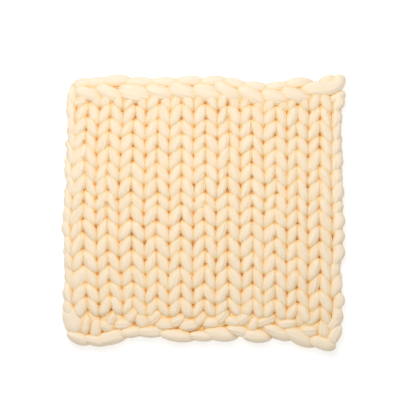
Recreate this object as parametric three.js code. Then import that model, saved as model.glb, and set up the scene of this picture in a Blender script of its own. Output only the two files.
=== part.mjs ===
// A chunky knitted blanket lying flat with its knit side up, worked in very thick soft roving.
// Twelve columns of stitches (wales) and fourteen full rows (courses) show as nested V shapes. A chain of
// bound-off loops runs along the top edge and a line of cast-on loops along the bottom edge.
// Millimetres. +X is to the right, +Y runs towards the bound-off edge and +Z is up. The origin is the
// middle of the footprint, on the surface that the blanket lies on.
import * as THREE from "three";
import { mergeVertices } from "three/addons/utils/BufferGeometryUtils.js";

// Driving sizes
const KNIT_TOP = 42; // usual height of a stitch leg's crest
const CHAIN_TOP = 46; // height of the chain's front strands
const LEG_CREST = 14; // from a leg's widest level up to its crest
const CREVICE = 8; // depth of the crease between two legs
const GAP = 13; // depth of the small gap where four legs meet
const LOWEST = 24; // nothing inside the edge lies lower than this on the knit side
const EDGE_LEVEL = 19; // height at which the blanket is widest
const LEG_WIDTH = 27;
const LEG_OVERLAP = 1.1; // a leg runs this far past its own cell, under its neighbours
const UNEVEN = 2; // how far a stitch strays from its place
const WIDTH_SPREAD = 0.06; // share by which a leg's width varies
const CREST_SPREAD = 0.08; // and its crest
const WELD = 1e-3; // corners nearer to each other than this are one

// The under side: a turned lower edge, then flat ridges with a furrow between every two courses.
const UNDER_SIDE = { turn_in: 4, turn_z: 7, flat_in: 14, furrow: 5 };

const SPLIT = 3; // mesh steps along each side of a leg's cell
const TOP_STEPS = 7; // mesh steps from the first full course up to the top edge
const FOOT_STEPS = 6; // mesh steps from the last full course down to the bottom edge
const UNDER_STEP = 2 * SPLIT; // knit side columns to one column of the under side
const EVENED = 2; // border points on each side that even out the rim of the under side

// Places of the wales: x of the V's middle line near the top, half way down and near the foot, and how
// far the wale's stitches sit below the heights in COURSES.
const LEVELS = { top: 212, middle: 14, foot: -188 };
const WALES = [
  { top: -272, middle: -279, foot: -275, drop_top: -7, drop_foot: 0 },
  { top: -220, middle: -227, foot: -221, drop_top: -3, drop_foot: -3 },
  { top: -171, middle: -180, foot: -172, drop_top: 0, drop_foot: -4 },
  { top: -120, middle: -125, foot: -122, drop_top: 0, drop_foot: 0 },
  { top: -69, middle: -74, foot: -73, drop_top: 0, drop_foot: 0 },
  { top: -22, middle: -22, foot: -23, drop_top: 0, drop_foot: 0 },
  { top: 29, middle: 28, foot: 24, drop_top: 0, drop_foot: 0 },
  { top: 77, middle: 76, foot: 79, drop_top: 0, drop_foot: 0 },
  { top: 127, middle: 128, foot: 127, drop_top: 4, drop_foot: 2 },
  { top: 177, middle: 175, foot: 174, drop_top: 5, drop_foot: 6 },
  { top: 222, middle: 218, foot: 222, drop_top: 1, drop_foot: 15 },
  { top: 270, middle: 273, foot: 272, drop_top: 6, drop_foot: 18 },
];
const LEFT_EDGE = { top: -280, middle: -292, foot: -292 };
const RIGHT_EDGE = { top: 292, middle: 294, foot: 290 };

// Heights of the courses, from under the top chain down to the cast-on edge: the peak where two wales
// meet, and the notch at the bottom of each V.
const COURSES = [
  { peak: 257, notch: 242 },
  { peak: 228, notch: 212 },
  { peak: 198, notch: 180 },
  { peak: 167, notch: 152 },
  { peak: 140, notch: 120 },
  { peak: 105, notch: 85 },
  { peak: 78, notch: 57 },
  { peak: 42, notch: 24 },
  { peak: 16, notch: -3 },
  { peak: -18, notch: -34 },
  { peak: -47, notch: -66 },
  { peak: -83, notch: -102 },
  { peak: -113, notch: -132 },
  { peak: -148, notch: -167 },
  { peak: -180, notch: -198 },
  { peak: -211, notch: -222 },
  { peak: -238, notch: -246 },
];
const FIRST_FULL = 1; // the row in COURSES where the first full course starts
const LAST_FULL = COURSES.length - 2;

// Loops of the top chain. The front strands lean down to the right, over the back strands.
const CHAIN_FRONT = { z: CHAIN_TOP - 18, crest: 18 };
const CHAIN_FRONT_LOOPS = [
  { x: -236, y: 250, length: 62, width: 26, lean: -15 },
  { x: -193, y: 251, length: 62, width: 27, lean: -25 },
  { x: -139, y: 251, length: 72, width: 32, lean: -10 },
  { x: -87, y: 255, length: 62, width: 27, lean: -15 },
  { x: -39, y: 256, length: 62, width: 28, lean: -15 },
  { x: 13, y: 254, length: 66, width: 31, lean: -15 },
  { x: 57, y: 256, length: 66, width: 26, lean: -33 },
  { x: 106, y: 248, length: 64, width: 27, lean: -28 },
  { x: 156, y: 246, length: 62, width: 25, lean: -12 },
  { x: 198, y: 250, length: 66, width: 28, lean: -18 },
  { x: 253, y: 261, length: 86, width: 30, lean: 14 },
  { x: 281, y: 272, length: 41, width: 34, lean: 60 },
];
const CHAIN_BACK = { z: 22, crest: 17 };
const CHAIN_BACK_LOOPS = [
  { x: -264, y: 266, length: 50, width: 28, lean: 20 },
  { x: -229, y: 273, length: 52, width: 22, lean: 8 },
  { x: -187, y: 277, length: 58, width: 26, lean: 5 },
  { x: -137, y: 274, length: 64, width: 20, lean: 0 },
  { x: -83, y: 274, length: 58, width: 18, lean: 0 },
  { x: -32, y: 276, length: 60, width: 18, lean: 2 },
  { x: 18, y: 276, length: 54, width: 24, lean: 5 },
  { x: 65, y: 271, length: 52, width: 20, lean: -15 },
  { x: 107, y: 264, length: 56, width: 18, lean: -5 },
  { x: 155, y: 264, length: 54, width: 18, lean: 5 },
  { x: 197, y: 272, length: 56, width: 24, lean: 8 },
  { x: 239, y: 273, length: 48, width: 20, lean: -12 },
];

// Loops of the cast-on edge, from the left corner's upright bundle to the right corner.
const CAST_ON = { z: 22, crest: 18 };
const CAST_ON_LOOPS = [
  { x: -280, y: -230, length: 52, width: 36, lean: 85 },
  { x: -266, y: -268, length: 44, width: 27, lean: -25 },
  { x: -228, y: -273, length: 46, width: 26, lean: -12 },
  { x: -193, y: -264, length: 62, width: 34, lean: 15 },
  { x: -151, y: -253, length: 46, width: 26, lean: 8 },
  { x: -111, y: -253, length: 54, width: 26, lean: 0 },
  { x: -55, y: -261, length: 68, width: 28, lean: -8 },
  { x: -3, y: -262, length: 48, width: 24, lean: -3 },
  { x: 36, y: -258, length: 64, width: 32, lean: -8 },
  { x: 75, y: -251, length: 48, width: 26, lean: -10 },
  { x: 113, y: -262, length: 54, width: 30, lean: -5 },
  { x: 156, y: -254, length: 60, width: 30, lean: -22 },
  { x: 203, y: -264, length: 68, width: 34, lean: -28 },
  { x: 250, y: -277, length: 58, width: 28, lean: -20 },
  { x: 271, y: -263, length: 52, width: 38, lean: 55 },
  { x: 281, y: -232, length: 34, width: 28, lean: 45 },
];

// Small bumps between the last course and the cast-on loops, two to a wale.
const BUMP = { z: 23, crest: 15, length: 27, width: 22, drop_share: 0.6 };
const HIGH_BUMP = { y: -224, lean: 45 };
const LOW_BUMP = { y: -240, lean: -15 };

const HALF_WALES = 2 * WALES.length;
const toRadians = THREE.MathUtils.degToRad;
const mix = THREE.MathUtils.lerp;

// A steady value from -1 to 1 for a stitch, so that no two stitches are quite alike. The factors only
// scatter the values: kinds 1 and 2 move a knot, 3 and 4 shape a leg, and 5 moves a bump.
function stray(column, course, kind) {
  return Math.sin(12.9 * column + 78.2 * course + 37.7 * kind);
}

// The parabola through a line's three places, at height y.
function along(line, y) {
  const t = (LEVELS.top - y) / (LEVELS.top - LEVELS.foot);
  const bow = 4 * (line.middle - (line.top + line.foot) / 2);
  return mix(line.top, line.foot, t) + bow * t * (1 - t);
}

// x of a column line at height y: odd columns are the middles of the V shapes, even ones the seams between.
function columnX(column, y) {
  if (column <= 0) return along(LEFT_EDGE, y);
  if (column >= HALF_WALES) return along(RIGHT_EDGE, y);
  if (column % 2 === 1) return along(WALES[(column - 1) / 2], y);
  return (along(WALES[column / 2 - 1], y) + along(WALES[column / 2], y)) / 2;
}

function columnDrop(column, y) {
  const t = THREE.MathUtils.clamp((LEVELS.top - y) / (LEVELS.top - LEVELS.foot), 0, 1);
  const drop = (wale) => mix(wale.drop_top, wale.drop_foot, t);
  const before = WALES[Math.max(0, Math.ceil(column / 2) - 1)];
  const after = WALES[Math.min(WALES.length - 1, Math.floor(column / 2))];
  return (drop(before) + drop(after)) / 2;
}

// The point where four legs meet, on a column line at the top of a course.
function knot(column, course) {
  const row = COURSES[course];
  const level = column % 2 === 1 ? row.notch : row.peak;
  const inside = column > 0 && column < HALF_WALES ? 1 : 0;
  const y = level - columnDrop(column, level) + UNEVEN * stray(column, course, 1);
  return new THREE.Vector2(columnX(column, y) + inside * UNEVEN * stray(column, course, 2), y);
}

// A plump strand seen from above: an ellipse on the ground plan, with its crest above the level z.
function strand(x, y, length, width, lean, { z, crest }) {
  const turn = toRadians(lean);
  return { x, y, a: length / 2, b: width / 2, cos: Math.cos(turn), sin: Math.sin(turn), z, crest };
}

function stitchLegs() {
  const legs = [];
  for (let course = 0; course + 1 < COURSES.length; course++) {
    for (let column = 0; column < HALF_WALES; column++) {
      const falls = column % 2 === 0; // the left leg of a V falls to the right, the right leg to the left
      const top = knot(falls ? column : column + 1, course);
      const foot = knot(falls ? column + 1 : column, course + 1);
      const run = new THREE.Vector2().subVectors(foot, top);
      const middle = new THREE.Vector2().addVectors(foot, top).multiplyScalar(0.5);
      const lean = THREE.MathUtils.radToDeg(Math.atan2(run.y, run.x));
      const width = LEG_WIDTH * (1 + WIDTH_SPREAD * stray(column, course, 3));
      const crest = LEG_CREST * (1 + CREST_SPREAD * stray(column, course, 4));
      const body = { z: KNIT_TOP - LEG_CREST, crest };
      legs.push(strand(middle.x, middle.y, run.length() * LEG_OVERLAP, width, lean, body));
    }
  }
  return legs;
}

function castOnBumps() {
  const bumps = [];
  for (let column = 0; column < HALF_WALES; column++) {
    const row = column % 2 === 1 ? HIGH_BUMP : LOW_BUMP;
    const x = (columnX(column, row.y) + columnX(column + 1, row.y)) / 2;
    const y = row.y - BUMP.drop_share * columnDrop(column, row.y) + 2 * UNEVEN * stray(column, 0, 5);
    bumps.push(strand(x, y, BUMP.length, BUMP.width, row.lean, BUMP));
  }
  return bumps;
}

const place = (body) => (loop) => strand(loop.x, loop.y, loop.length, loop.width, loop.lean, body);
const STRANDS = [
  ...stitchLegs(),
  ...castOnBumps(),
  ...CHAIN_FRONT_LOOPS.map(place(CHAIN_FRONT)),
  ...CHAIN_BACK_LOOPS.map(place(CHAIN_BACK)),
  ...CAST_ON_LOOPS.map(place(CAST_ON)),
];

// Height of the knit side over a point: the highest strand there.
function crestAt(x, y) {
  let height = LOWEST;
  for (const s of STRANDS) {
    const u = ((x - s.x) * s.cos + (y - s.y) * s.sin) / s.a;
    const v = ((y - s.y) * s.cos - (x - s.x) * s.sin) / s.b;
    const rest = 1 - u * u - v * v;
    if (rest > 0) height = Math.max(height, s.z + s.crest * Math.sqrt(rest));
  }
  return height;
}

// The outermost point of all strands along a ray on the ground plan.
function outermost(from, direction) {
  let far = 0;
  for (const s of STRANDS) {
    const u0 = ((from.x - s.x) * s.cos + (from.y - s.y) * s.sin) / s.a;
    const v0 = ((from.y - s.y) * s.cos - (from.x - s.x) * s.sin) / s.b;
    const u1 = (direction.x * s.cos + direction.y * s.sin) / s.a;
    const v1 = (direction.y * s.cos - direction.x * s.sin) / s.b;
    const a = u1 * u1 + v1 * v1;
    const b = u0 * u1 + v0 * v1;
    const inside = b * b - a * (u0 * u0 + v0 * v0 - 1);
    if (inside > 0) far = Math.max(far, (Math.sqrt(inside) - b) / a);
  }
  return from.clone().addScaledVector(direction, far);
}

const COLUMNS = HALF_WALES * SPLIT;
const KNIT_ROWS = (LAST_FULL - FIRST_FULL) * SPLIT;
const ROWS = TOP_STEPS + KNIT_ROWS + FOOT_STEPS;

// The outline is looked for along rays that leave this rectangle square to its sides and fan out at its
// corners. The rough edges only say how the rays are spread.
const CORE = new THREE.Box2(new THREE.Vector2(-230, -215), new THREE.Vector2(230, 225));
const ROUGH_TOP = 282;
const ROUGH_FOOT = -276;

function isBorder(i, j) {
  return i === 0 || i === COLUMNS || j === 0 || j === ROWS;
}

// The direction out of the blanket at a place near its edge.
function wayOut(place) {
  const core = CORE.clampPoint(place, new THREE.Vector2());
  return place.clone().sub(core).normalize();
}

function onOutline(place) {
  return outermost(CORE.clampPoint(place, new THREE.Vector2()), wayOut(place));
}

// The ground plan of the mesh, row by row from the top edge. The rows follow the V shapes, and past the
// full courses they even out towards the outline.
function planGrid() {
  const line = (course) => {
    const points = [];
    for (let i = 0; i <= COLUMNS; i++) {
      const column = Math.min(Math.floor(i / SPLIT), HALF_WALES - 1);
      points.push(knot(column, course).lerp(knot(column + 1, course), i / SPLIT - column));
    }
    return points;
  };
  const between = (from, to, steps) => {
    const rows = [];
    for (let k = 0; k < steps; k++) rows.push(from.map((p, i) => p.clone().lerp(to[i], k / steps)));
    return rows;
  };
  const edge = (course, y) => line(course).map((p) => onOutline(new THREE.Vector2(p.x, y)));

  const foot = edge(LAST_FULL, ROUGH_FOOT);
  const grid = between(edge(FIRST_FULL, ROUGH_TOP), line(FIRST_FULL), TOP_STEPS);
  for (let course = FIRST_FULL; course < LAST_FULL; course++) {
    grid.push(...between(line(course), line(course + 1), SPLIT));
  }
  grid.push(...between(line(LAST_FULL), foot, FOOT_STEPS), foot);

  // The sides: the outline itself, then even steps in to the first column line.
  for (let j = 1; j < ROWS; j++) {
    for (const [border, inner] of [
      [0, SPLIT],
      [COLUMNS, COLUMNS - SPLIT],
    ]) {
      const out = onOutline(grid[j][border]);
      for (let k = 0; k < SPLIT; k++) {
        const i = border + Math.sign(inner - border) * k;
        grid[j][i] = out.clone().lerp(grid[j][inner], k / SPLIT);
      }
    }
  }
  return grid;
}

// Depth of the crease at a mesh point, or 0 on a leg and past the full courses.
function creaseAt(i, j) {
  if (j < TOP_STEPS || j > TOP_STEPS + KNIT_ROWS) return 0;
  const onColumn = i % SPLIT === 0;
  const onCourse = (j - TOP_STEPS) % SPLIT === 0;
  if (onColumn && onCourse) return GAP;
  return onColumn || onCourse ? CREVICE : 0;
}

// Collects the triangles of the closed body.
class Skin {
  constructor() {
    this.corners = [];
  }
  triangle(a, b, c) {
    for (const p of [a, b, c]) this.corners.push(p.x, p.y, p.z);
  }
  // Corners in turn, seen from outside. The split runs from a to c.
  quad(a, b, c, d) {
    this.triangle(a, b, c);
    this.triangle(a, c, d);
  }
  // Fills the strip between two lines of points that run to the right of each other, seen from inside. Each
  // step takes the shorter way across.
  zip(near, far) {
    let n = 0;
    let f = 0;
    while (n < near.length - 1 || f < far.length - 1) {
      const farDone = f === far.length - 1;
      const nearDone = n === near.length - 1;
      if (farDone || (!nearDone && near[n + 1].distanceTo(far[f]) < near[n].distanceTo(far[f + 1]))) {
        this.triangle(near[n], far[f], near[n + 1]);
        n++;
      } else {
        this.triangle(near[n], far[f], far[f + 1]);
        f++;
      }
    }
  }
  geometry() {
    const loose = new THREE.BufferGeometry();
    loose.setAttribute("position", new THREE.Float32BufferAttribute(this.corners, 3));
    const closed = mergeVertices(loose, WELD);
    closed.computeVertexNormals();
    return closed;
  }
}

// Height of the knit side at a mesh point, with the creases between the legs pressed in.
function heightAt(p, i, j) {
  if (isBorder(i, j)) return EDGE_LEVEL;
  const crease = creaseAt(i, j);
  const crest = crestAt(p.x, p.y);
  return crease ? Math.min(crest, KNIT_TOP - crease) : crest;
}

function knitSide(skin, plan) {
  const top = plan.map((row, j) => row.map((p, i) => new THREE.Vector3(p.x, p.y, heightAt(p, i, j))));
  for (let j = 0; j < ROWS; j++) {
    for (let i = 0; i < COLUMNS; i++) {
      const [nw, ne, se, sw] = [top[j][i], top[j][i + 1], top[j + 1][i + 1], top[j + 1][i]];
      const falls = Math.floor(i / SPLIT) % 2 === 0;
      const topCorner = j === 0 && (i === 0 || i === COLUMNS - 1);
      if (falls !== topCorner) skin.quad(sw, se, ne, nw);
      else skin.quad(se, ne, nw, sw);
    }
  }
  return top;
}

// The places of the border in turn, counter-clockwise from above.
function borderLoop() {
  const loop = [];
  for (let i = 0; i < COLUMNS; i++) loop.push([i, ROWS]);
  for (let j = ROWS; j > 0; j--) loop.push([COLUMNS, j]);
  for (let i = COLUMNS; i > 0; i--) loop.push([i, 0]);
  for (let j = 0; j < ROWS; j++) loop.push([0, j]);
  return loop;
}

// On the under side a furrow runs along every course, between flat ridges.
function isFurrow(j) {
  return j > TOP_STEPS && j < TOP_STEPS + KNIT_ROWS && (j - TOP_STEPS) % SPLIT === 1;
}

// A ring of points that lie inside the border by the distance given. How far the ring lies from the core is
// evened out over the neighbours on each side, so that the flat rim has no sharp notches.
function innerRing(loop, top, distance, neighbours, levelOf) {
  const places = loop.map(([i, j]) => new THREE.Vector2(top[j][i].x, top[j][i].y));
  const cores = places.map((p) => CORE.clampPoint(p, new THREE.Vector2()));
  const reach = places.map((p, k) => p.distanceTo(cores[k]));
  return places.map((p, k) => {
    let sum = 0;
    for (let n = -neighbours; n <= neighbours; n++) sum += reach.at((k + n) % loop.length);
    const evened = sum / (2 * neighbours + 1);
    const inner = cores[k].clone().addScaledVector(wayOut(p), evened - distance);
    return new THREE.Vector3(inner.x, inner.y, levelOf(loop[k][1]));
  });
}

// Whole numbers from one to the other, upwards or downwards.
function count(from, to) {
  const step = Math.sign(to - from);
  return Array.from({ length: Math.abs(to - from) + 1 }, (_, k) => from + k * step);
}

function underSide(skin, top) {
  const level = (j) => (isFurrow(j) ? UNDER_SIDE.furrow : 0);
  const loop = borderLoop();
  const turned = innerRing(loop, top, UNDER_SIDE.turn_in, 0, () => UNDER_SIDE.turn_z);
  const flat = innerRing(loop, top, UNDER_SIDE.flat_in, EVENED, level);
  loop.forEach(([i, j], k) => {
    const next = (k + 1) % loop.length;
    const [iNext, jNext] = loop[next];
    skin.quad(turned[k], turned[next], top[jNext][iNext], top[j][i]);
    skin.quad(flat[k], flat[next], turned[next], turned[k]);
  });

  const rank = new Map(loop.map((place, k) => [place.join(), k]));
  const flatAt = (i, j) => flat[rank.get([i, j].join())];
  const across = (j) => {
    const line = [flatAt(0, j)];
    for (let i = UNDER_STEP; i < COLUMNS; i += UNDER_STEP) line.push(top[j][i].clone().setZ(level(j)));
    return [...line, flatAt(COLUMNS, j)];
  };
  const [first, last] = [TOP_STEPS, TOP_STEPS + KNIT_ROWS];
  for (let j = first; j < last; j++) skin.zip(across(j + 1), across(j));

  // The flat strips under the chain and under the cast-on loops, out to the border.
  const inner = (j) => across(j).slice(1, -1);
  const rim = (nearest, j) => [
    ...count(nearest, j).map((row) => flatAt(0, row)),
    ...count(1, COLUMNS - 1).map((i) => flatAt(i, j)),
    ...count(j, nearest).map((row) => flatAt(COLUMNS, row)),
  ];
  skin.zip(inner(first), rim(first, 0));
  skin.zip(rim(last, ROWS), inner(last));
}

function knitBlanket() {
  const skin = new Skin();
  underSide(skin, knitSide(skin, planGrid()));
  const shape = skin.geometry();
  shape.computeBoundingBox();
  const middle = shape.boundingBox.getCenter(new THREE.Vector3());
  shape.translate(-middle.x, -middle.y, 0);
  const wool = new THREE.MeshStandardMaterial({ color: 0xf6e3c4, roughness: 0.95, metalness: 0 });
  const blanket = new THREE.Mesh(shape, wool);
  blanket.name = "knit_blanket";
  return blanket;
}

const model = new THREE.Group();
model.add(knitBlanket());

export default model;
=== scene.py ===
import math

import bpy
import numpy as np
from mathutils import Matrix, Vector


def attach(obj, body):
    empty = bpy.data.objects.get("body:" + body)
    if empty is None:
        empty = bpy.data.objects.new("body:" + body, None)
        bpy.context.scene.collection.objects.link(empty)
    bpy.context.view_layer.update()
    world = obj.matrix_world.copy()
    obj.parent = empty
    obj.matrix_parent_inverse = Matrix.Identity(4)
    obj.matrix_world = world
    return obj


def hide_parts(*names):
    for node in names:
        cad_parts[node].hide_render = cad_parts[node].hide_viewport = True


# A chunky knitted blanket of soft cream roving, lying flat. Each course of stitches is one long
# tube: a loop's two legs lie in front and show as a V, and its head and the sinkers between the
# loops lie behind. Short tubes make the chain along the top and the cast-on loops along the foot.
# The tables are in millimetres, in the frame that the blanket was measured in; MIDDLE is the middle
# of its footprint there. Everything handed to Blender is in metres, with that middle at the origin.

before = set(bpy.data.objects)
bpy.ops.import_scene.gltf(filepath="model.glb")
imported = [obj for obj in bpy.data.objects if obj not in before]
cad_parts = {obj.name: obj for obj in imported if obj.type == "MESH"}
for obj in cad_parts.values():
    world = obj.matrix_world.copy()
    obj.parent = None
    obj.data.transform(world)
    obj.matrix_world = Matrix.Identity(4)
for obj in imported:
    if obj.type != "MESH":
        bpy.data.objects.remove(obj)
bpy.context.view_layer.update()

MM = 0.001
MIDDLE = (-0.5, -0.9)

# Half the strand's width and thickness, and the height of its middle, from place to place
KNIT_TOP = 42.0
LEG_HALF = {"width": 14.1, "thick": 13.0}
SLOPE_HALF = {"width": 12.4, "thick": 12.4}
TURN_HALF = {"width": 8.9, "thick": 9.5}
BACK_HALF = {"width": 9.6, "thick": 10.2}
LEG_Z = KNIT_TOP - LEG_HALF["thick"]
SLOPE_Z = 27.8
TURN_Z = 18.5
BEHIND_Z = 11.0
BACK_Z = 10.2
RESTS_AT = 0.3  # the strand is pressed flat where it would reach lower

# Where a loop's strand runs. In both leg tables, foot, top and behind are shares of the way from a
# middle line to the seam beside it, and SLOPE_AT is one of the way from a leg's centre to its end.
INNER_LEG = {"foot": 0.12, "top": 0.12, "behind": 0.46, "behind_rise": 21.0}
EDGE_LEG = {"foot": 0.15, "top": 0.45, "behind": 0.2, "behind_rise": 16.0}
SLOPE_AT = 0.56
TURN_SHIFT = 1.5
HEAD_RISE = 11.0
SINKER_DROP = 8.0
BEHIND_DROP = 9.0
LAST_SINKS = 7.0
EDGE_SINKS = 1.5
EDGE_RISE = 2.0
EDGE_TAPER = 0.78
FULL_HALF_WALE = 24.0
EDGE_NARROW = 0.5  # share of its width that a leg would keep in a half wale of no width
# How far the first wale's right leg moves and spreads for each time that it is larger than usual
LENS_SHIFT = 8.0
LENS_REACH = {"foot": 8.0, "head": 20.0}

# Where the strand turns at a side edge: how far out, its height, and how far up or down the cloth
TURN_SITS_IN = 15.0
EDGE_TURN = [
    {"out": 2, "z": 15, "up": 3.0, "down": -13.0},
    {"out": 3, "z": 17, "up": 16.0, "down": -20.0},
]

# How much stitches differ from each other, in millimetres or as a share
VARIED = ("y", "x", "width", "lift", "foot", "head", "pit")
SCATTER = {"column": 12.9898, "course": 78.233, "kind": 37.719, "spread": 43758.5453}
UNEVEN = 2.8
WIDTH_VARIES = 0.1
LIFT_VARIES = 1.6
TURN_VARIES = 0.2

# The small holes where four legs meet
PIT_DEPTH = 9.0
PIT_SHARE = {"usual": 0.6, "varies": 0.6}
PIT_SPREAD = 1.7
PIT_REACH = 4  # in spreads
PIT_FLOOR = 10.0
PIT_FADE = 10.0

# The strand's line: how finely it is drawn and how its bends are opened
CURVE_STEPS = 24
FEWEST_STEPS = 8
STEP = {"long": 3.2, "short": 3.0}
EASE_ROUNDS = 12
EASE_FROM = 0.06  # the turn from step to step, as one less its cosine, above which a bend is opened
EASE_SPAN = 0.25
EASE_MOST = 0.5
LEVEL_PULL = 0.25
BEND_LIMIT = 0.75  # how near to the middle of a bend the skin may come, as a share of its radius
NEVER_NOTHING = {"bend": 1e-9, "sky": 1e-6}  # so that nothing is divided by zero

# The strand's skin. A lump row is a wave: its size, how often it comes round the strand and how
# fast it runs along it, and which of the tube's random phases it takes.
SIDES = 28
SQUARENESS = 2.08
END_TAPER = (0.35, 0.75, 0.93)
LUMPS = [
    {"size": 0.022, "round": 2, "along": 0.05, "phase": 0},
    {"size": 0.016, "round": 3, "along": -0.07, "phase": 1},
    {"size": 0.012, "round": 5, "along": 0.04, "phase": 2},
    {"size": 0.008, "round": 8, "along": -0.06, "phase": 4},
    {"size": 0.016, "round": 0, "along": 0.09, "phase": 3},
]
FIBRES_START = 900  # the furthest along the wool's pattern that a tube starts
SEEDS = {
    "course": 100, "chain": 300, "chain_core": 350, "lobe": 400,
    "lump": 430, "foot_core": 450, "bump": 500,
}

# How the filled space round a point is turned into the depth of a crease
CREASE_FROM = 0.45
CREASE_SPAN = 0.32
CREASE_PARTS = {"filled": 0.6, "covered": 0.4}

# Places of the wales: x of the V's middle line near the top, half way down and near the foot, and
# how far the wale's stitches sit below the heights in COURSES.
LEVELS = {"top": 212.0, "middle": 14.0, "foot": -188.0}
WALES = [
    {"top": -268, "middle": -281, "foot": -275, "drop_top": -7, "drop_foot": 0},
    {"top": -220, "middle": -227, "foot": -221, "drop_top": -3, "drop_foot": -3},
    {"top": -171, "middle": -180, "foot": -172, "drop_top": 0, "drop_foot": -4},
    {"top": -120, "middle": -125, "foot": -122, "drop_top": 0, "drop_foot": 0},
    {"top": -69, "middle": -74, "foot": -73, "drop_top": 0, "drop_foot": 0},
    {"top": -22, "middle": -22, "foot": -23, "drop_top": 0, "drop_foot": 0},
    {"top": 29, "middle": 28, "foot": 24, "drop_top": 0, "drop_foot": 0},
    {"top": 77, "middle": 76, "foot": 79, "drop_top": 0, "drop_foot": 0},
    {"top": 127, "middle": 128, "foot": 127, "drop_top": 4, "drop_foot": 2},
    {"top": 177, "middle": 175, "foot": 174, "drop_top": 5, "drop_foot": 6},
    {"top": 222, "middle": 218, "foot": 222, "drop_top": 1, "drop_foot": 15},
    {"top": 271, "middle": 271, "foot": 268, "drop_top": 6, "drop_foot": 18},
]
LEFT_EDGE = {"top": -286, "middle": -294, "foot": -294}
RIGHT_EDGE = {"top": 292, "middle": 294, "foot": 290}

# Heights of the courses, from under the top chain down to the cast-on edge, with the outline's x at
# both sides and how much larger than usual the first wale's right leg is.
COURSES = [
    {"peak": 257, "notch": 242, "left": -289, "right": 299, "lens": 1},
    {"peak": 228, "notch": 212, "left": -291, "right": 293, "lens": 1},
    {"peak": 198, "notch": 180, "left": -288, "right": 291, "lens": 1.05},
    {"peak": 167, "notch": 152, "left": -287, "right": 292, "lens": 1},
    {"peak": 140, "notch": 120, "left": -288, "right": 295, "lens": 1.25},
    {"peak": 105, "notch": 85, "left": -295, "right": 294, "lens": 1.1},
    {"peak": 78, "notch": 57, "left": -289, "right": 297, "lens": 1.15},
    {"peak": 42, "notch": 24, "left": -296, "right": 296, "lens": 1},
    {"peak": 16, "notch": -3, "left": -298, "right": 299, "lens": 1.1},
    {"peak": -18, "notch": -34, "left": -301, "right": 299, "lens": 1},
    {"peak": -47, "notch": -66, "left": -295, "right": 299, "lens": 1.05},
    {"peak": -83, "notch": -102, "left": -295, "right": 289, "lens": 1},
    {"peak": -113, "notch": -132, "left": -295, "right": 293, "lens": 1.35},
    {"peak": -148, "notch": -167, "left": -299, "right": 299, "lens": 1.15},
    {"peak": -180, "notch": -198, "left": -299, "right": 294, "lens": 1},
    {"peak": -211, "notch": -222, "left": -298, "right": 291, "lens": 1},
    {"peak": -238, "notch": -246, "left": -298, "right": 291, "lens": 1},
]

CHAIN_FRONT_LOOPS = [
    {"x": -236, "y": 246, "length": 62, "width": 29, "lean": -15},
    {"x": -193, "y": 247, "length": 64, "width": 33, "lean": -22},
    {"x": -139, "y": 248, "length": 74, "width": 38, "lean": -10},
    {"x": -87, "y": 250, "length": 62, "width": 32, "lean": -12},
    {"x": -39, "y": 251, "length": 64, "width": 35, "lean": -14},
    {"x": 13, "y": 249, "length": 66, "width": 35, "lean": -12},
    {"x": 57, "y": 249, "length": 66, "width": 31, "lean": -30},
    {"x": 106, "y": 242, "length": 66, "width": 32, "lean": -25},
    {"x": 156, "y": 240, "length": 62, "width": 31, "lean": -10},
    {"x": 200, "y": 244, "length": 68, "width": 32, "lean": -12},
]
CHAIN_BACK_LOOPS = [
    {"x": -229, "y": 273, "length": 52, "width": 22, "lean": 8},
    {"x": -187, "y": 277, "length": 58, "width": 26, "lean": 5},
    {"x": -137, "y": 274, "length": 64, "width": 20, "lean": 0},
    {"x": -83, "y": 274, "length": 58, "width": 18, "lean": 0},
    {"x": -32, "y": 276, "length": 60, "width": 18, "lean": 2},
    {"x": 18, "y": 276, "length": 54, "width": 24, "lean": 5},
    {"x": 65, "y": 271, "length": 52, "width": 20, "lean": -15},
    {"x": 107, "y": 264, "length": 56, "width": 18, "lean": -5},
    {"x": 155, "y": 264, "length": 54, "width": 18, "lean": 5},
    {"x": 197, "y": 272, "length": 56, "width": 24, "lean": 8},
]

# Short strands under both ends of the chain.
CORNER_LENSES = [
    {"x": -259, "y": 233, "length": 40, "width": 20, "lean": 20},
    {"x": 279, "y": 240, "length": 38, "width": 24, "lean": 32},
]

CAST_ON_LOOPS = [
    {"x": -263, "y": -267, "length": 44, "width": 27, "lean": -22},
    {"x": -227, "y": -271, "length": 46, "width": 26, "lean": -10},
    {"x": -193, "y": -264, "length": 62, "width": 34, "lean": 15},
    {"x": -151, "y": -253, "length": 46, "width": 26, "lean": 8},
    {"x": -111, "y": -253, "length": 54, "width": 26, "lean": 0},
    {"x": -55, "y": -261, "length": 68, "width": 28, "lean": -8},
    {"x": -3, "y": -262, "length": 48, "width": 24, "lean": -3},
    {"x": 36, "y": -258, "length": 64, "width": 32, "lean": -8},
    {"x": 75, "y": -251, "length": 48, "width": 26, "lean": -10},
    {"x": 113, "y": -262, "length": 54, "width": 30, "lean": -5},
    {"x": 156, "y": -254, "length": 60, "width": 30, "lean": -22},
    {"x": 203, "y": -264, "length": 68, "width": 34, "lean": -28},
]
# Plump turns of the strand at the foot's two corners.
CORNER_LUMPS = [
    {"x": -276, "y": -228, "length": 62, "width": 42, "lean": 103},
    {"x": 249, "y": -276, "length": 58, "width": 29, "lean": -20},
    {"x": 275, "y": -259, "length": 41, "width": 28, "lean": 65},
    {"x": 274, "y": -234, "length": 36, "width": 26, "lean": 50},
]
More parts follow.
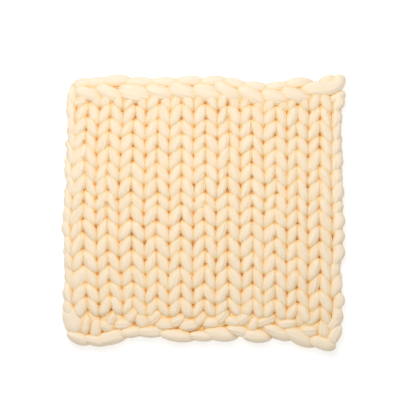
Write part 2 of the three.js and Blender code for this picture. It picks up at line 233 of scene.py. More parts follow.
# Bumps that the first loops make above the cast-on edge.
FOOT_BUMPS = [
    {"x": -249, "y": -238, "length": 36, "width": 20, "lean": 80},
    {"x": -228, "y": -245, "length": 36, "width": 24, "lean": 80},
    {"x": -206, "y": -241, "length": 26, "width": 22, "lean": -20},
    {"x": -195, "y": -227, "length": 32, "width": 20, "lean": 65},
    {"x": -171, "y": -236, "length": 32, "width": 24, "lean": 5},
    {"x": -153, "y": -218, "length": 36, "width": 24, "lean": 50},
    {"x": -131, "y": -228, "length": 30, "width": 26, "lean": -60},
    {"x": -105, "y": -223, "length": 32, "width": 24, "lean": 40},
    {"x": -82, "y": -236, "length": 32, "width": 24, "lean": 0},
    {"x": -56, "y": -229, "length": 32, "width": 24, "lean": 30},
    {"x": -31, "y": -239, "length": 34, "width": 24, "lean": 10},
    {"x": -8, "y": -226, "length": 30, "width": 20, "lean": 50},
    {"x": 16, "y": -234, "length": 30, "width": 23, "lean": 0},
    {"x": 38, "y": -222, "length": 32, "width": 22, "lean": 50},
    {"x": 61, "y": -231, "length": 30, "width": 22, "lean": -15},
    {"x": 83, "y": -224, "length": 32, "width": 28, "lean": 35},
    {"x": 106, "y": -236, "length": 30, "width": 22, "lean": 60},
    {"x": 130, "y": -229, "length": 44, "width": 22, "lean": 22},
    {"x": 176, "y": -236, "length": 38, "width": 22, "lean": 5},
    {"x": 204, "y": -221, "length": 38, "width": 20, "lean": 85},
    {"x": 228, "y": -224, "length": 38, "width": 26, "lean": 50},
    {"x": 223, "y": -250, "length": 32, "width": 24, "lean": 0},
    {"x": 254, "y": -246, "length": 36, "width": 26, "lean": 85},
    {"x": 276, "y": -231, "length": 32, "width": 24, "lean": 50},
]

# Short strands that lie along a loop's line. Along is a share of half the loop's length, z comes on
# top of the strand's own height, and an end is thinner than the body.
FRONT_LOOP = [
    {"along": 1.28, "up": 0, "z": 11, "part": "body", "spread": 0.5},
    {"along": 0.84, "up": 0, "z": 20.5, "part": "body", "spread": 0.8},
    {"along": 0.24, "up": 0, "z": 29.5, "part": "body", "spread": 1.03},
    {"along": -0.32, "up": 0, "z": 31.5, "part": "body", "spread": 1.06},
    {"along": -0.76, "up": 1, "z": 30, "part": "body", "spread": 0.96},
    {"along": -1.08, "up": 1, "z": 22, "part": "body", "spread": 0.72},
]
BACK_LOOP = [
    {"along": -1.16, "up": -6, "z": 14, "part": "body", "spread": 0.7},
    {"along": -0.72, "up": -3, "z": 22, "part": "body", "spread": 0.94},
    {"along": -0.12, "up": -1, "z": 27, "part": "body", "spread": 1.04},
    {"along": 0.40, "up": -1, "z": 26.5, "part": "body", "spread": 1.0},
    {"along": 0.84, "up": -3, "z": 21, "part": "body", "spread": 0.84},
    {"along": 1.16, "up": -8, "z": 12, "part": "body", "spread": 0.6},
]
LOBE = [
    {"along": -1.10, "up": 0, "z": -6, "part": "end", "spread": 0.8},
    {"along": -0.72, "up": 0, "z": 0.5, "part": "body", "spread": 0.8},
    {"along": -0.10, "up": 0, "z": 1, "part": "body", "spread": 1.0},
    {"along": 0.50, "up": 0, "z": -2, "part": "body", "spread": 0.92},
    {"along": 0.92, "up": 0, "z": -9, "part": "end", "spread": 1.1},
    {"along": 1.15, "up": 0, "z": -13, "part": "end", "spread": 0.8},
]
BUMP = [
    {"along": -1.0, "up": 0, "z": -13, "part": "end", "spread": 1.0},
    {"along": -0.55, "up": 0, "z": -2, "part": "body", "spread": 0.92},
    {"along": 0.0, "up": 0, "z": 0, "part": "body", "spread": 1.0},
    {"along": 0.55, "up": 0, "z": -2, "part": "body", "spread": 0.92},
    {"along": 1.0, "up": 0, "z": -13, "part": "end", "spread": 1.0},
]
FRONT_THICK = 14.0
BACK_THICK = 12.0
BACK_LEAST = 11.5  # the least half width of a back loop
END_THICK = 0.72
LOBE_SIZE = {"z": 24.0, "thick": 14.0, "ends": 0.6}
BUMP_SIZE = {"z": 27.0, "thick": 12.5, "ends": 0.72}
LENS_SIZE = {"z": 29.0, "thick": 11.0, "ends": 0.72}
LUMP_SIZE = {"z": 27.0, "thick": 14.0, "ends": 0.45}
BUMP_LONGER = 1.14
BUMP_WIDER = 1.2

# Strands at both ends of the chain, point by point
CHAIN_HALVES = {
    "fat": {"width": 17.2, "thick": 14},
    "knob": {"width": 13.5, "thick": 13.5},
    "slim": {"width": 9.0, "thick": 10},
    "side": {"width": 10, "thick": 12},
}
# A strand that comes up the left side, and the crescent that turns the corner
FIRST_LOOPS = [
    [
        {"at": (-270, 182), "z": 12, "half": "side", "spread": 0.7},
        {"at": (-279, 200), "z": 20, "half": "side", "spread": 0.95},
        {"at": (-280, 222), "z": 25, "half": "side", "spread": 1.0},
        {"at": (-277, 243), "z": 27, "half": "side", "spread": 1.0},
        {"at": (-270, 257), "z": 22, "half": "side", "spread": 0.9},
        {"at": (-262, 265), "z": 13, "half": "side", "spread": 0.7},
    ],
    [
        {"at": (-266, 258), "z": 16, "half": "side", "spread": 0.8},
        {"at": (-269, 266), "z": 24, "half": "side", "spread": 0.9},
        {"at": (-261, 271), "z": 27, "half": "side", "spread": 1.0},
        {"at": (-249, 272), "z": 26, "half": "side", "spread": 1.0},
        {"at": (-239, 271), "z": 20, "half": "side", "spread": 0.9},
        {"at": (-230, 267), "z": 12, "half": "side", "spread": 0.6},
    ],
]
# The long last loop with its round end, and the small turn of strand behind that end
LAST_LOOPS = [
    [
        {"at": (202, 246), "z": 14, "half": "slim", "spread": 1.0},
        {"at": (215, 255), "z": 26, "half": "fat", "spread": 0.86},
        {"at": (236, 258.5), "z": 31.5, "half": "fat", "spread": 1.0},
        {"at": (262, 260.5), "z": 31.5, "half": "fat", "spread": 0.98},
        {"at": (280, 267), "z": 30.5, "half": "knob", "spread": 1.08},
        {"at": (286, 278), "z": 29.5, "half": "knob", "spread": 1.0},
        {"at": (286, 288), "z": 25, "half": "knob", "spread": 0.85},
    ],
    [
        {"at": (246, 270), "z": 13, "half": "slim", "spread": 0.8},
        {"at": (253, 276.5), "z": 23, "half": "slim", "spread": 0.95},
        {"at": (263, 279.5), "z": 26, "half": "slim", "spread": 1.05},
        {"at": (275, 279), "z": 22, "half": "slim", "spread": 1.0},
        {"at": (284, 276), "z": 14, "half": "slim", "spread": 0.7},
    ],
]

# The strands inside the chain and behind the cast-on loops
CHAIN_CORE = {"width": 13, "thick": 12, "z": 19, "right": 6, "up": 14}
FOOT_CORE = {"width": 14, "thick": 10.2, "z": 15.0, "up": 17.0, "ends_at": 268}

# The wool: how fine its fibres and locks are across and along the strand, its colours, its finish
FIBRES = {"across": 900, "along": 22, "detail": 3}
LOCKS = {"across": 260, "along": 9, "detail": 2}
LOCK_SHADES = {0.3: (0.94, 0.752, 0.53, 1), 0.62: (0.97, 0.815, 0.62, 1)}
# Painted shade: the wool is painted darker and more orange the deeper a point lies in a crease
CREASE_PAINTED_SHADES = {
    0.0: (1, 1, 1, 1),
    0.15: (1.0, 0.95, 0.83, 1),
    0.35: (1.0, 0.90, 0.69, 1),
    0.75: (0.99, 0.84, 0.55, 1),
    1.0: (0.97, 0.70, 0.34, 1),
}
CREASE_RANGE = (0.0, 0.9)
# Painted light: near the outer edges, where the bulk is low, the wool is painted paler
INNER_RANGE = (0.29, 0.44)  # of the bulk: at the lower end the wool is as pale as at an outer edge
PAINTED_LIGHT_EDGE_WOOL = (0.97, 0.83, 0.66, 1)
# Near the outer edges the painted crease shade is faded this far towards this near white
EDGE_PAINTED_SHADE = (1, 1, 0.97, 1)
EDGE_PAINTED_SHADE_SHARE = 0.6
FIBRE_BUMP = {"Strength": 0.35, "Distance": 0.0006}
LOCK_BUMP = {"Strength": 0.8, "Distance": 0.003}
FINISH = {
    "Roughness": 0.92,
    "Specular IOR Level": 0.08,
    "Sheen Weight": 0.12,
    "Sheen Roughness": 0.6,
    "Sheen Tint": (1.0, 0.85, 0.65, 1),
}

# The studio, in metres. Soft round lamps: the key from the top left, a low one from the left and a
# broad one straight above.
LIGHTS = [
    {"name": "key", "at": (-0.42, 0.93, 1.65), "size": 1.1, "energy": 12.6},
    {"name": "side", "at": (-1.45, 0.75, 0.4), "size": 0.9, "energy": 0.5},
    {"name": "above", "at": (-0.02, 0.3, 1.45), "size": 0.8, "energy": 6.4},
]
ROOM_LIGHT = {"Color": (1.0, 0.98, 0.94, 1), "Strength": 0.465}
FLOOR_REACH = 6.0
FLOOR_PAINT = {
    "Base Color": (0.5, 0.5, 0.5, 1),
    "Roughness": 0.9,
    "Emission Color": (1, 1, 1, 1),
    "Emission Strength": 0.62,
}
CAMERA = {"above": 3.0, "frame_width": 0.844, "sensor": 36, "sees_to": 20}
LOOKS_AT = (-7.4 * MM, 25.9 * MM, 0.03)

HALF_WALES = 2 * len(WALES)


def mix(a, b, t):
    """The value a share t of the way from a to b."""
    return a + (b - a) * t


def stray(column, course, kind):
    """A steady value from -1 to 1 for a stitch, so that no two stitches are quite alike."""
    number = VARIED.index(kind) + 1
    place = SCATTER["column"] * column + SCATTER["course"] * course + SCATTER["kind"] * number
    value = math.sin(place) * SCATTER["spread"]
    return 2 * (value - math.floor(value)) - 1


def along(line, y):
    """The x at y of a line through its three places, bowed in the middle."""
    t = (LEVELS["top"] - y) / (LEVELS["top"] - LEVELS["foot"])
    bow = 4 * (line["middle"] - (line["top"] + line["foot"]) / 2)
    return mix(line["top"], line["foot"], t) + bow * t * (1 - t)


def column_x(column, y):
    """The x of a column line: odd ones are the middles of the wales, and even ones the seams."""
    if column <= 0:
        return along(LEFT_EDGE, y)
    if column >= HALF_WALES:
        return along(RIGHT_EDGE, y)
    if column % 2 == 1:
        return along(WALES[column // 2], y)
    return (along(WALES[column // 2 - 1], y) + along(WALES[column // 2], y)) / 2


def column_drop(column, y):
    """How far a column line's stitches sit below the heights in COURSES."""
    t = min(max((LEVELS["top"] - y) / (LEVELS["top"] - LEVELS["foot"]), 0), 1)
    before = WALES[max(0, math.ceil(column / 2) - 1)]
    after = WALES[min(len(WALES) - 1, column // 2)]
    drops = [mix(w["drop_top"], w["drop_foot"], t) for w in (before, after)]
    return sum(drops) / 2


def knot(column, course):
    """The point where four legs meet, on a column line at the top of a course."""
    level = COURSES[course]["notch" if column % 2 == 1 else "peak"]
    inside = 0 < column < HALF_WALES
    x = column_x(column, level) + inside * UNEVEN * stray(column, course, "x")
    y = level - column_drop(column, level) + UNEVEN * stray(column, course, "y")
    return np.array([x, y])


def station(place, z, half, spread=1.0):
    """One control point of a strand: its place, its height, and half its width and thickness."""
    return [place[0], place[1], z, half["width"] * spread, half["thick"]]


def leg(column, course):
    """Control points of one leg of a V, from its foot at the middle up to its top at the seam."""
    seam, middle = (column, column + 1) if column % 2 == 0 else (column + 1, column)
    top, notch = knot(seam, course), knot(middle, course)
    base, below = knot(middle, course + 1), knot(seam, course + 1)
    across, up = np.array([1.0, 0.0]), np.array([0.0, 1.0])
    foot_out = across * (below[0] - base[0])
    top_out = across * (top[0] - notch[0])
    centre = (top + notch + base + below) / 4
    edge = column in (0, HALF_WALES - 1)
    runs = EDGE_LEG if edge else INNER_LEG
    foot = base + foot_out * runs["foot"] + up * TURN_SHIFT
    head = top - top_out * runs["top"] - up * TURN_SHIFT
    wide = 1 + WIDTH_VARIES * stray(column, course, "width")
    wide *= mix(EDGE_NARROW, 1, min(1.0, abs(top_out[0]) / FULL_HALF_WALE))
    lift = LIFT_VARIES * stray(column, course, "lift")
    if edge:
        lift -= EDGE_SINKS
        side = math.copysign(1, foot_out[0])
        outline = COURSES[course]["left" if side < 0 else "right"]
        centre = np.array([outline - side * LEG_HALF["width"] * wide, centre[1] + EDGE_RISE])
    if column == 1:
        lens = COURSES[course]["lens"]
        wide *= lens
        centre = centre + across * LENS_SHIFT * (lens - 1)
        foot = foot - across * LENS_REACH["foot"] * (lens - 1)
        head = head + across * LENS_REACH["head"] * (lens - 1)
    if course == len(COURSES) - 2:
        lift -= LAST_SINKS
    taper = wide * (EDGE_TAPER if edge else 1)
    foot_turn = 1 + TURN_VARIES * stray(column, course, "foot")
    head_turn = 1 + TURN_VARIES * stray(column, course, "head")
    start = base + foot_out * INNER_LEG["behind"] - up * BEHIND_DROP
    end = notch + top_out * runs["behind"] + up * runs["behind_rise"]
    return [
        station(start, BEHIND_Z, BACK_HALF),
        station(foot, TURN_Z, TURN_HALF, foot_turn),
        station(mix(centre, foot, SLOPE_AT), SLOPE_Z + lift, SLOPE_HALF, taper),
        station(centre, LEG_Z + lift, LEG_HALF, wide),
        station(mix(centre, head, SLOPE_AT), SLOPE_Z + lift, SLOPE_HALF, taper),
        station(head, TURN_Z, TURN_HALF, head_turn),
        station(end, BEHIND_Z, BACK_HALF),
    ]


def stitch(wale, course):
    """Control points of one loop: up its left leg, over its head and down its right leg."""
    notch = knot(2 * wale + 1, course)
    head = station(notch + [0, HEAD_RISE], BACK_Z, BACK_HALF)
    return leg(2 * wale, course) + [head] + leg(2 * wale + 1, course)[::-1]


def sinker(wale, course):
    """The control point between a wale and the next one, behind the seam."""
    column = 2 * wale + 2
    bases = [knot(column - 1, course + 1), knot(column + 1, course + 1)]
    seam = knot(column, course + 1)
    level = (bases[0][1] + bases[1][1]) / 2 - SINKER_DROP
    return station([seam[0], level], BACK_Z, BACK_HALF)


def edge_turn(course, side, upwards):
    """Control points where the strand turns at a side edge, towards the next course up or down."""
    column = 0 if side < 0 else HALF_WALES
    here = knot(column + (1 if side < 0 else -1), course + 1)
    x = column_x(column, here[1]) - side * TURN_SITS_IN
    way = "up" if upwards else "down"
    return [
        station([x + side * row["out"], here[1] + row[way]], row["z"], BACK_HALF)
        for row in EDGE_TURN
    ]


def course_points(course):
    """Control points of a whole course, from the turn at its left edge to that at its right."""
    left_up = course % 2 == 0
    points = edge_turn(course, -1, left_up)[::-1]
    for wale in range(len(WALES)):
        points += stitch(wale, course)
        if wale + 1 < len(WALES):
            points.append(sinker(wale, course))
    return points + edge_turn(course, 1, not left_up)


def in_even_steps(line, step):
    """The line in steps of about one length, and how far along it each point is."""
    lengths = np.linalg.norm(np.diff(line[:, :3], axis=0), axis=1)
    run = np.concatenate([[0], np.cumsum(lengths)])
    count = max(FEWEST_STEPS, int(round(run[-1] / step)))
    even = np.linspace(0, run[-1], count + 1)
    return np.column_stack([np.interp(even, run, column) for column in line.T]), even


def eased(line):
    """The line with its sharpest bends opened, so that a thick skin can follow them."""
    for _ in range(EASE_ROUNDS):
        step = np.diff(line[:, :3], axis=0)
        step /= np.linalg.norm(step, axis=1)[:, None]
        turn = 1 - (step[1:] * step[:-1]).sum(axis=1)
        share = EASE_MOST * np.clip((turn - EASE_FROM) / EASE_SPAN, 0, 1)[:, None]
        line[1:-1] += share * ((line[:-2] + line[2:]) / 2 - line[1:-1])
    return line


def smooth_line(points, step):
    """A Catmull-Rom curve through control points, eased, in even steps, with all their columns."""
    p = np.array(points, float)
    padded = np.vstack([2 * p[0] - p[1], p, 2 * p[-1] - p[-2]])
    t = np.linspace(0, 1, CURVE_STEPS, endpoint=False)[:, None]
    fine = []
    for k in range(1, len(padded) - 2):
        a, b, c, d = padded[k - 1 : k + 3]
        squared = (2 * a - 5 * b + 4 * c - d) * t**2
        cubed = (3 * b - 3 * c + d - a) * t**3
        fine.append(0.5 * (2 * b + (c - a) * t + squared + cubed))
    line, _ = in_even_steps(np.vstack(fine + [p[-1:]]), step)
    return in_even_steps(eased(line), step)


def carried(ahead):
    """The direction across the strand, carried along it without sudden turns and nearly level."""
    aside = np.cross(ahead, [0, 0, 1.0])
    aside[0] /= np.linalg.norm(aside[0])
    for k in range(1, len(ahead)):
        level = aside[k]
        held = aside[k - 1] - ahead[k] * (aside[k - 1] @ ahead[k])
        pull = level * math.copysign(LEVEL_PULL, level @ held)
        held = held / np.linalg.norm(held) + pull
        aside[k] = held / np.linalg.norm(held)
    return aside


def unfolded(offset, ahead, step):
    """Ring offsets held back on the inner side of a tight bend, where the skin would fold."""
    bend = np.gradient(ahead, axis=0) / step
    bend[1:-1] = (bend[:-2] + 2 * bend[1:-1] + bend[2:]) / 4
    strength = np.maximum((bend**2).sum(axis=1), NEVER_NOTHING["bend"])
    inner = (offset * bend[:, None, :]).sum(axis=2)
    excess = np.maximum(inner - BEND_LIMIT, 0) / strength[:, None]
    return offset - excess[:, :, None] * bend[:, None, :]


def tube_faces(count):
    """The quads of a tube of count rings, and the triangles that close its ends."""
    i, j = np.meshgrid(np.arange(count - 1), np.arange(SIDES), indexing="ij")
    near, far, after = i * SIDES, (i + 1) * SIDES, (j + 1) % SIDES
    quads = np.stack([near + j, far + j, far + after, near + after], -1).reshape(-1, 4)
    ring = np.arange(SIDES)
    after = (ring + 1) % SIDES
    start, end = np.full(SIDES, count * SIDES), np.full(SIDES, count * SIDES + 1)
    last = (count - 1) * SIDES
    tris = [np.stack([start, ring, after], -1), np.stack([end, last + after, last + ring], -1)]
    return quads, np.vstack(tris)


def tube(points, seed, step=STEP["short"]):
    """Vertices, faces and strand coordinates of a closed soft strand through control points."""
    rng = np.random.default_rng(seed)
    line, run = smooth_line(points, step)
    ahead = np.gradient(line[:, :3], axis=0)
    ahead /= np.linalg.norm(ahead, axis=1)[:, None]
    aside = carried(ahead)
    up = np.cross(aside, ahead)
    phi = np.linspace(0, 2 * math.pi, SIDES, endpoint=False)
    power = 2 / SQUARENESS
    across = np.sign(np.cos(phi)) * np.abs(np.cos(phi)) ** power
    over = np.sign(np.sin(phi)) * np.abs(np.sin(phi)) ** power
    s = run[:, None]
    phase = rng.uniform(0, 2 * math.pi, len(LUMPS))
    lumps = 1
    for row in LUMPS:
        wave = np.sin(row["round"] * phi + row["along"] * s + phase[row["phase"]])
        lumps = lumps + row["size"] * wave
    taper = np.ones(len(line))
    for k, share in enumerate(END_TAPER):
        taper[k] = taper[-1 - k] = share
    width = (line[:, 3] * taper)[:, None] * lumps
    thick = (line[:, 4] * taper)[:, None] * lumps
    offset = (width * across)[:, :, None] * aside[:, None, :]
    offset = offset + (thick * over)[:, :, None] * up[:, None, :]
    rings = line[:, None, :3] + unfolded(offset, ahead, run[1])
    rings[:, :, 2] = np.maximum(rings[:, :, 2], RESTS_AT)
    ROOM.add(rings, line[:, :3])
    outward = offset / np.linalg.norm(offset, axis=2)[:, :, None]
    start = rng.uniform(0, FIBRES_START)
    run_along = np.broadcast_to(s + start, width.shape)
    strand = np.dstack([width * np.cos(phi), thick * np.sin(phi), run_along])
    ends = [[[0, 0, start]], [[0, 0, start + run[-1]]]]
    verts = np.vstack([rings.reshape(-1, 3), line[:1, :3], line[-1:, :3]])
    outward = np.vstack([outward.reshape(-1, 3), -ahead[:1], ahead[-1:]])
    strand = np.vstack([strand.reshape(-1, 3), *ends])
    return verts, tube_faces(len(line)), strand, outward


def pits():
    """Place and depth of the small holes where four legs meet."""
    rows = []
    for column in range(2, HALF_WALES - 1):
        for course in range(1, len(COURSES) - 1):
            share = PIT_SHARE["usual"] + PIT_SHARE["varies"] * stray(column, course, "pit")
            rows.append([*knot(column, course), PIT_DEPTH * share])
    return rows


def press_pits(v):
    """Press the strands down round each hole."""
    reach = PIT_REACH * PIT_SPREAD
    for x, y, depth in pits():
        near = (np.abs(v[:, 0] - x) < reach) & (np.abs(v[:, 1] - y) < reach)
        part = v[near]
        d2 = (part[:, 0] - x) ** 2 + (part[:, 1] - y) ** 2
        upper = np.clip((part[:, 2] - PIT_FLOOR) / PIT_FADE, 0, 1)
        part[:, 2] -= depth * upper * np.exp(-0.5 * d2 / PIT_SPREAD**2)
        v[near] = part


class Room:
    """How much of the space round a point the strands fill: deep in a crease it is most of it."""

    CELL = 3.0
    LOW = np.array([-330.0, -320.0, -24.0])
    CELLS = (220, 214, 32)
    SHELLS = (0.1, 0.35, 0.6, 0.88)  # shares of the way from a strand's middle to its skin
    # Standard deviations of the blurs, in cells
    NEAR = 0.7
    MIDDLING = 1.5
    FAR = 7.0
    BLUR_REACH = 3  # in standard deviations
    SOLID_FROM = 0.35
    SOLID_SPAN = 0.3
    # Where the sky over a point is looked for: how far off its skin, which ways, and how far
    CLEAR = 3.5
    SKY = ({"height": 90, "around": 1}, {"height": 55, "around": 6}, {"height": 20, "around": 6})
    REACHES = (2.0, 5.0, 9.0, 14.0)
    LEAST_FACING = 0.15

    def __init__(self):
        self.filled = np.zeros(self.CELLS, np.float32)

    def cells(self, points):
        """The cells that points lie in, as an index."""
        i = ((points - self.LOW) / self.CELL).astype(int)
        return i[:, 0], i[:, 1], i[:, 2]

    def add(self, rings, line):
        """Fill the cells that a tube goes through."""
        rings = np.vstack([rings, (rings[1:] + rings[:-1]) / 2])
        line = np.vstack([line, (line[1:] + line[:-1]) / 2])
        for share in self.SHELLS:
            self.filled[self.cells(mix(line[:, None, :], rings, share).reshape(-1, 3))] = 1

    def blurred(self, spread):
        """The filled space, blurred evenly in all directions."""
        reach = int(self.BLUR_REACH * spread)
        weights = np.exp(-0.5 * (np.arange(-reach, reach + 1) / spread) ** 2)
        weights /= weights.sum()
        soft = self.filled
        for axis in range(3):
            soft = sum(w * np.roll(soft, k - reach, axis) for k, w in enumerate(weights))
        return soft

    def blur(self):
        """Blur the filled space in three ways, once all the tubes are in it."""
        near = self.blurred(self.NEAR)
        self.solid = np.clip((near - self.SOLID_FROM) / self.SOLID_SPAN, 0, 1)
        self.soft = self.blurred(self.MIDDLING)
        self.broad = self.blurred(self.FAR)

    def cover(self, points, normals):
        """The share of the sky over each point that near strands hide."""
        hidden = np.zeros(len(points))
        whole = np.full(len(points), NEVER_NOTHING["sky"])
        start = points + normals * self.CLEAR
        for band in self.SKY:
            height, around = band["height"], band["around"]
            rise = math.radians(height)
            for k in range(around):
                turn = 2 * math.pi * (k + height / 90) / around
                level = math.cos(rise)
                way = np.array([level * math.cos(turn), level * math.sin(turn), math.sin(rise)])
                facing = np.maximum(normals @ way, 0) + self.LEAST_FACING
                blocked = np.zeros(len(points))
                for reach in self.REACHES:
                    there = self.solid[self.cells(start + way * reach)]
                    blocked = np.maximum(blocked, there)
                hidden += facing * blocked
                whole += facing
        return hidden / whole

    def around(self, points, field):
        """The filled share around each point, read between the cell middles."""
        at = (points - self.LOW) / self.CELL - 0.5
        low = np.floor(at).astype(int)
        part = at - low
        total = np.zeros(len(points))
        for corner in np.ndindex(2, 2, 2):
            pick = low + corner
            share = np.prod(np.where(corner, part, 1 - part), axis=1)
            total += share * field[pick[:, 0], pick[:, 1], pick[:, 2]]
        return total


ROOM = Room()


def keep_attribute(mesh, name, values):
    """Store a value or a vector for each vertex, for the wool to read."""
    vector = values.ndim == 2
    kind, field = ("FLOAT_VECTOR", "vector") if vector else ("FLOAT", "value")
    held = mesh.attributes.new(name, kind, "POINT")
    held.data.foreach_set(field, values.astype(np.float32).ravel())


def build(name, tubes, material):
    """One piece of the scene from several tubes."""
    verts, faces, strands, normals, offset = [], [], [], [], 0
    for v, (quads, tris), strand, outward in tubes:
        verts.append(v)
        strands.append(strand)
        normals.append(outward)
        faces += (quads + offset).tolist() + (tris + offset).tolist()
        offset += len(v)
    v = np.vstack(verts)
    if name.startswith("course"):
        press_pits(v)
    covered = ROOM.cover(v, np.vstack(normals))
    filled = np.clip((ROOM.around(v, ROOM.soft) - CREASE_FROM) / CREASE_SPAN, 0, 1)
    bulk = ROOM.around(v, ROOM.broad)
    v[:, 0] -= MIDDLE[0]
    v[:, 1] -= MIDDLE[1]
    mesh = bpy.data.meshes.new(name)
    mesh.from_pydata((v * MM).tolist(), [], faces)
    mesh.shade_smooth()
    keep_attribute(mesh, "strand", np.vstack(strands) * MM)
    # Where the wool gets painted shade: crease depth from the filled space and the hidden sky
    crease = CREASE_PARTS["filled"] * filled + CREASE_PARTS["covered"] * covered
    keep_attribute(mesh, "crease", crease)
    # Where the wool is painted paler: low bulk, near the outer edges
    keep_attribute(mesh, "bulk", bulk)
    mesh.materials.append(material)
    piece = bpy.data.objects.new(name, mesh)
    bpy.context.scene.collection.objects.link(piece)
    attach(piece, "root")
    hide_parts("knit_blanket")


def along_loop(loop, rows, z, body, ends=None):
    """Control points of a short strand that lies along a loop's line."""
    lean = math.radians(loop["lean"])
    middle = np.array([loop["x"], loop["y"]], float)
    reach = np.array([math.cos(lean), math.sin(lean)]) * (loop["length"] / 2)
    points = []
    for row in rows:
        place = middle + reach * row["along"] + [0, row["up"]]
        half = ends if row["part"] == "end" else body
        points.append(station(place, z + row["z"], half, row["spread"]))
    return points


def front_strand(loop):
    """The front of a bound-off loop: a plump lens whose left end lies over the loop before."""
    return along_loop(loop, FRONT_LOOP, 0, {"width": loop["width"] / 2, "thick": FRONT_THICK})


def back_strand(loop):
    """The back of a bound-off loop: a crescent along the top edge that dips at both ends."""
    half = {"width": max(loop["width"] / 2, BACK_LEAST), "thick": BACK_THICK}
    return along_loop(loop, BACK_LOOP, 0, half)


def plump(loop, rows, size):
    """A plump short strand, thinner at its ends."""
    half = loop["width"] / 2
    body = {"width": half, "thick": size["thick"]}
    ends = {"width": half * size["ends"], "thick": size["thick"] * END_THICK}
    return along_loop(loop, rows, size["z"], body, ends)


def through(rows):
    """Control points of a strand that is given point by point."""
    return [station(r["at"], r["z"], CHAIN_HALVES[r["half"]], r["spread"]) for r in rows]


def chain_core():
    """The strand inside the chain, between its front and back loops."""
    places = [
        [loop["x"] + CHAIN_CORE["right"], loop["y"] + CHAIN_CORE["up"]]
        for loop in CHAIN_FRONT_LOOPS
    ]
    return [station(place, CHAIN_CORE["z"], CHAIN_CORE) for place in places]


def foot_core():
    """The strand behind the cast-on lobes and bumps, which the first loops hang from."""
    end = FOOT_CORE["ends_at"]
    places = [
        [min(max(loop["x"], -end), end), loop["y"] + FOOT_CORE["up"]]
        for loop in CAST_ON_LOOPS + CORNER_LUMPS[1:2]
    ]
    return [station(place, FOOT_CORE["z"], FOOT_CORE) for place in places]


def roving():
    """Unspun wool: fine fibres along the strand, soft sheen, and painted warm shade in the creases.
    """
    material = bpy.data.materials.new("roving")
    material.use_nodes = True
    nodes, links = material.node_tree.nodes, material.node_tree.links
    shader = nodes["Principled BSDF"]
    strand = nodes.new("ShaderNodeAttribute")
    strand.attribute_name = "strand"

    def stretched(grain):
        """Noise drawn out along the strand."""
        scale = nodes.new("ShaderNodeVectorMath")
        scale.operation = "MULTIPLY"
        scale.inputs[1].default_value = (grain["across"], grain["across"], grain["along"])
        links.new(strand.outputs["Vector"], scale.inputs[0])
        noise = nodes.new("ShaderNodeTexNoise")
        noise.inputs["Scale"].default_value = 1.0
        noise.inputs["Detail"].default_value = grain["detail"]
        links.new(scale.outputs[0], noise.inputs["Vector"])
        return noise.outputs["Fac"]

    def measured(attribute, low, high):
        """A vertex value as a factor, 0 at low and 1 at high."""
        value = nodes.new("ShaderNodeAttribute")
        value.attribute_name = attribute
        scaled = nodes.new("ShaderNodeMapRange")
        scaled.inputs["From Min"].default_value = low
        scaled.inputs["From Max"].default_value = high
        links.new(value.outputs["Fac"], scaled.inputs["Value"])
        return scaled.outputs["Result"]

    def ramp(stops, factor):
        """A colour ramp through its stops."""
        node = nodes.new("ShaderNodeValToRGB")
        elements = node.color_ramp.elements
        first, *between, last = sorted(stops)
        for element, place in ((elements[0], first), (elements[1], last)):
            element.position = place
            element.color = stops[place]
        for place in between:
            elements.new(place).color = stops[place]
        links.new(factor, node.inputs["Fac"])
        return node.outputs["Color"]

    def blend(kind, factor, first, second):
        """A mix of two colours, each a link or a plain value."""
        mixer = nodes.new("ShaderNodeMix")
        mixer.data_type = "RGBA"
        mixer.blend_type = kind
        for socket, value in (("Factor", factor), ("A", first), ("B", second)):
            if isinstance(value, bpy.types.NodeSocket):
                links.new(value, mixer.inputs[socket])
            else:
                mixer.inputs[socket].default_value = value
        return mixer.outputs["Result"]

    def bumped(size, height):
        """A bump node of a size, with its height linked."""
        node = nodes.new("ShaderNodeBump")
        for socket, value in size.items():
            node.inputs[socket].default_value = value
        links.new(height, node.inputs["Height"])
        return node

    fibres, locks = stretched(FIBRES), stretched(LOCKS)
    inner = measured("bulk", *INNER_RANGE)
    # Painted shade: the crease depth picks a darker, warmer colour that multiplies the wool's
    painted_crease_shade = ramp(CREASE_PAINTED_SHADES, measured("crease", *CREASE_RANGE))
    shade = blend("MIX", inner, blend("MIX", EDGE_PAINTED_SHADE_SHARE, painted_crease_shade, EDGE_PAINTED_SHADE), painted_crease_shade)
    # Painted light: the wool is painted paler near the outer edges, where the bulk is low
    wool_with_painted_edge_light = blend("MIX", inner, PAINTED_LIGHT_EDGE_WOOL, ramp(LOCK_SHADES, locks))
    links.new(blend("MULTIPLY", 1.0, wool_with_painted_edge_light, shade), shader.inputs["Base Color"])

    fine, coarse = bumped(FIBRE_BUMP, fibres), bumped(LOCK_BUMP, locks)
    links.new(fine.outputs["Normal"], coarse.inputs["Normal"])
    links.new(coarse.outputs["Normal"], shader.inputs["Normal"])
    for socket, value in FINISH.items():
        shader.inputs[socket].default_value = value
    return material


def camera():
    """Straight above, where the photo was taken from, with the photo's frame."""
    data = bpy.data.cameras.new("camera")
    data.sensor_width = CAMERA["sensor"]
    data.lens = data.sensor_width * CAMERA["above"] / CAMERA["frame_width"]
    data.clip_end = CAMERA["sees_to"]
    eye = bpy.data.objects.new("camera", data)
    eye.location = Vector(LOOKS_AT) + Vector((0, 0, CAMERA["above"]))
    bpy.context.scene.collection.objects.link(eye)
    bpy.context.scene.camera = eye


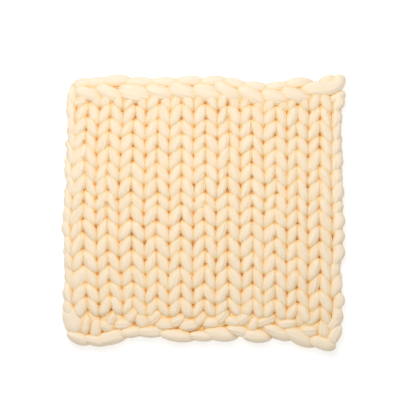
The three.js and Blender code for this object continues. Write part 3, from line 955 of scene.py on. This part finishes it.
def studio():
    """A plain white floor, an even bright room and the soft lamps."""
    world = bpy.data.worlds.new("room")
    world.use_nodes = True
    for socket, value in ROOM_LIGHT.items():
        world.node_tree.nodes["Background"].inputs[socket].default_value = value
    bpy.context.scene.world = world

    mesh = bpy.data.meshes.new("floor")
    far = FLOOR_REACH
    corners = [(-far, -far, 0), (far, -far, 0), (far, far, 0), (-far, far, 0)]
    mesh.from_pydata(corners, [], [(0, 1, 2, 3)])
    floor = bpy.data.objects.new("floor", mesh)
    material = bpy.data.materials.new("floor")
    material.use_nodes = True
    for socket, value in FLOOR_PAINT.items():
        material.node_tree.nodes["Principled BSDF"].inputs[socket].default_value = value
    mesh.materials.append(material)
    bpy.context.scene.collection.objects.link(floor)

    for row in LIGHTS:
        light = bpy.data.lights.new(row["name"], "AREA")
        light.shape = "DISK"
        light.size = row["size"]
        light.energy = row["energy"]
        lamp = bpy.data.objects.new(row["name"], light)
        lamp.location = row["at"]
        lamp.rotation_mode = "QUATERNION"
        lamp.rotation_quaternion = (-Vector(lamp.location)).to_track_quat("-Z", "Y")
        bpy.context.scene.collection.objects.link(lamp)
    bpy.context.scene.view_settings.view_transform = "Standard"


def short_tubes(strands, kind):
    """Tubes of short strands, each with its own seed."""
    return [tube(points, SEEDS[kind] + k) for k, points in enumerate(strands)]


def all_tubes():
    """The tubes of every piece, by the piece's name."""
    pieces = {}
    for course in range(len(COURSES) - 1):
        row = tube(course_points(course), SEEDS["course"] + course, STEP["long"])
        pieces[f"course_{course:02d}"] = [row]
    chain = [front_strand(loop) for loop in CHAIN_FRONT_LOOPS]
    chain += [back_strand(loop) for loop in CHAIN_BACK_LOOPS]
    chain += [through(rows) for rows in FIRST_LOOPS + LAST_LOOPS]
    chain += [plump(loop, BUMP, LENS_SIZE) for loop in CORNER_LENSES]
    core = tube(chain_core(), SEEDS["chain_core"], STEP["long"])
    pieces["bound_off_chain"] = short_tubes(chain, "chain") + [core]
    lobes = [plump(loop, LOBE, LOBE_SIZE) for loop in CAST_ON_LOOPS]
    lumps = [plump(loop, BUMP, LUMP_SIZE) for loop in CORNER_LUMPS]
    core = tube(foot_core(), SEEDS["foot_core"], STEP["long"])
    pieces["cast_on_edge"] = short_tubes(lobes, "lobe") + short_tubes(lumps, "lump") + [core]
    bumps = []
    for loop in FOOT_BUMPS:
        size = {"length": loop["length"] * BUMP_LONGER, "width": loop["width"] * BUMP_WIDER}
        bumps.append(plump({**loop, **size}, BUMP, BUMP_SIZE))
    pieces["cast_on_bumps"] = short_tubes(bumps, "bump")
    return pieces


camera()
studio()
wool = roving()
pieces = all_tubes()
ROOM.blur()
for name, parts in pieces.items():
    build(name, parts, wool)
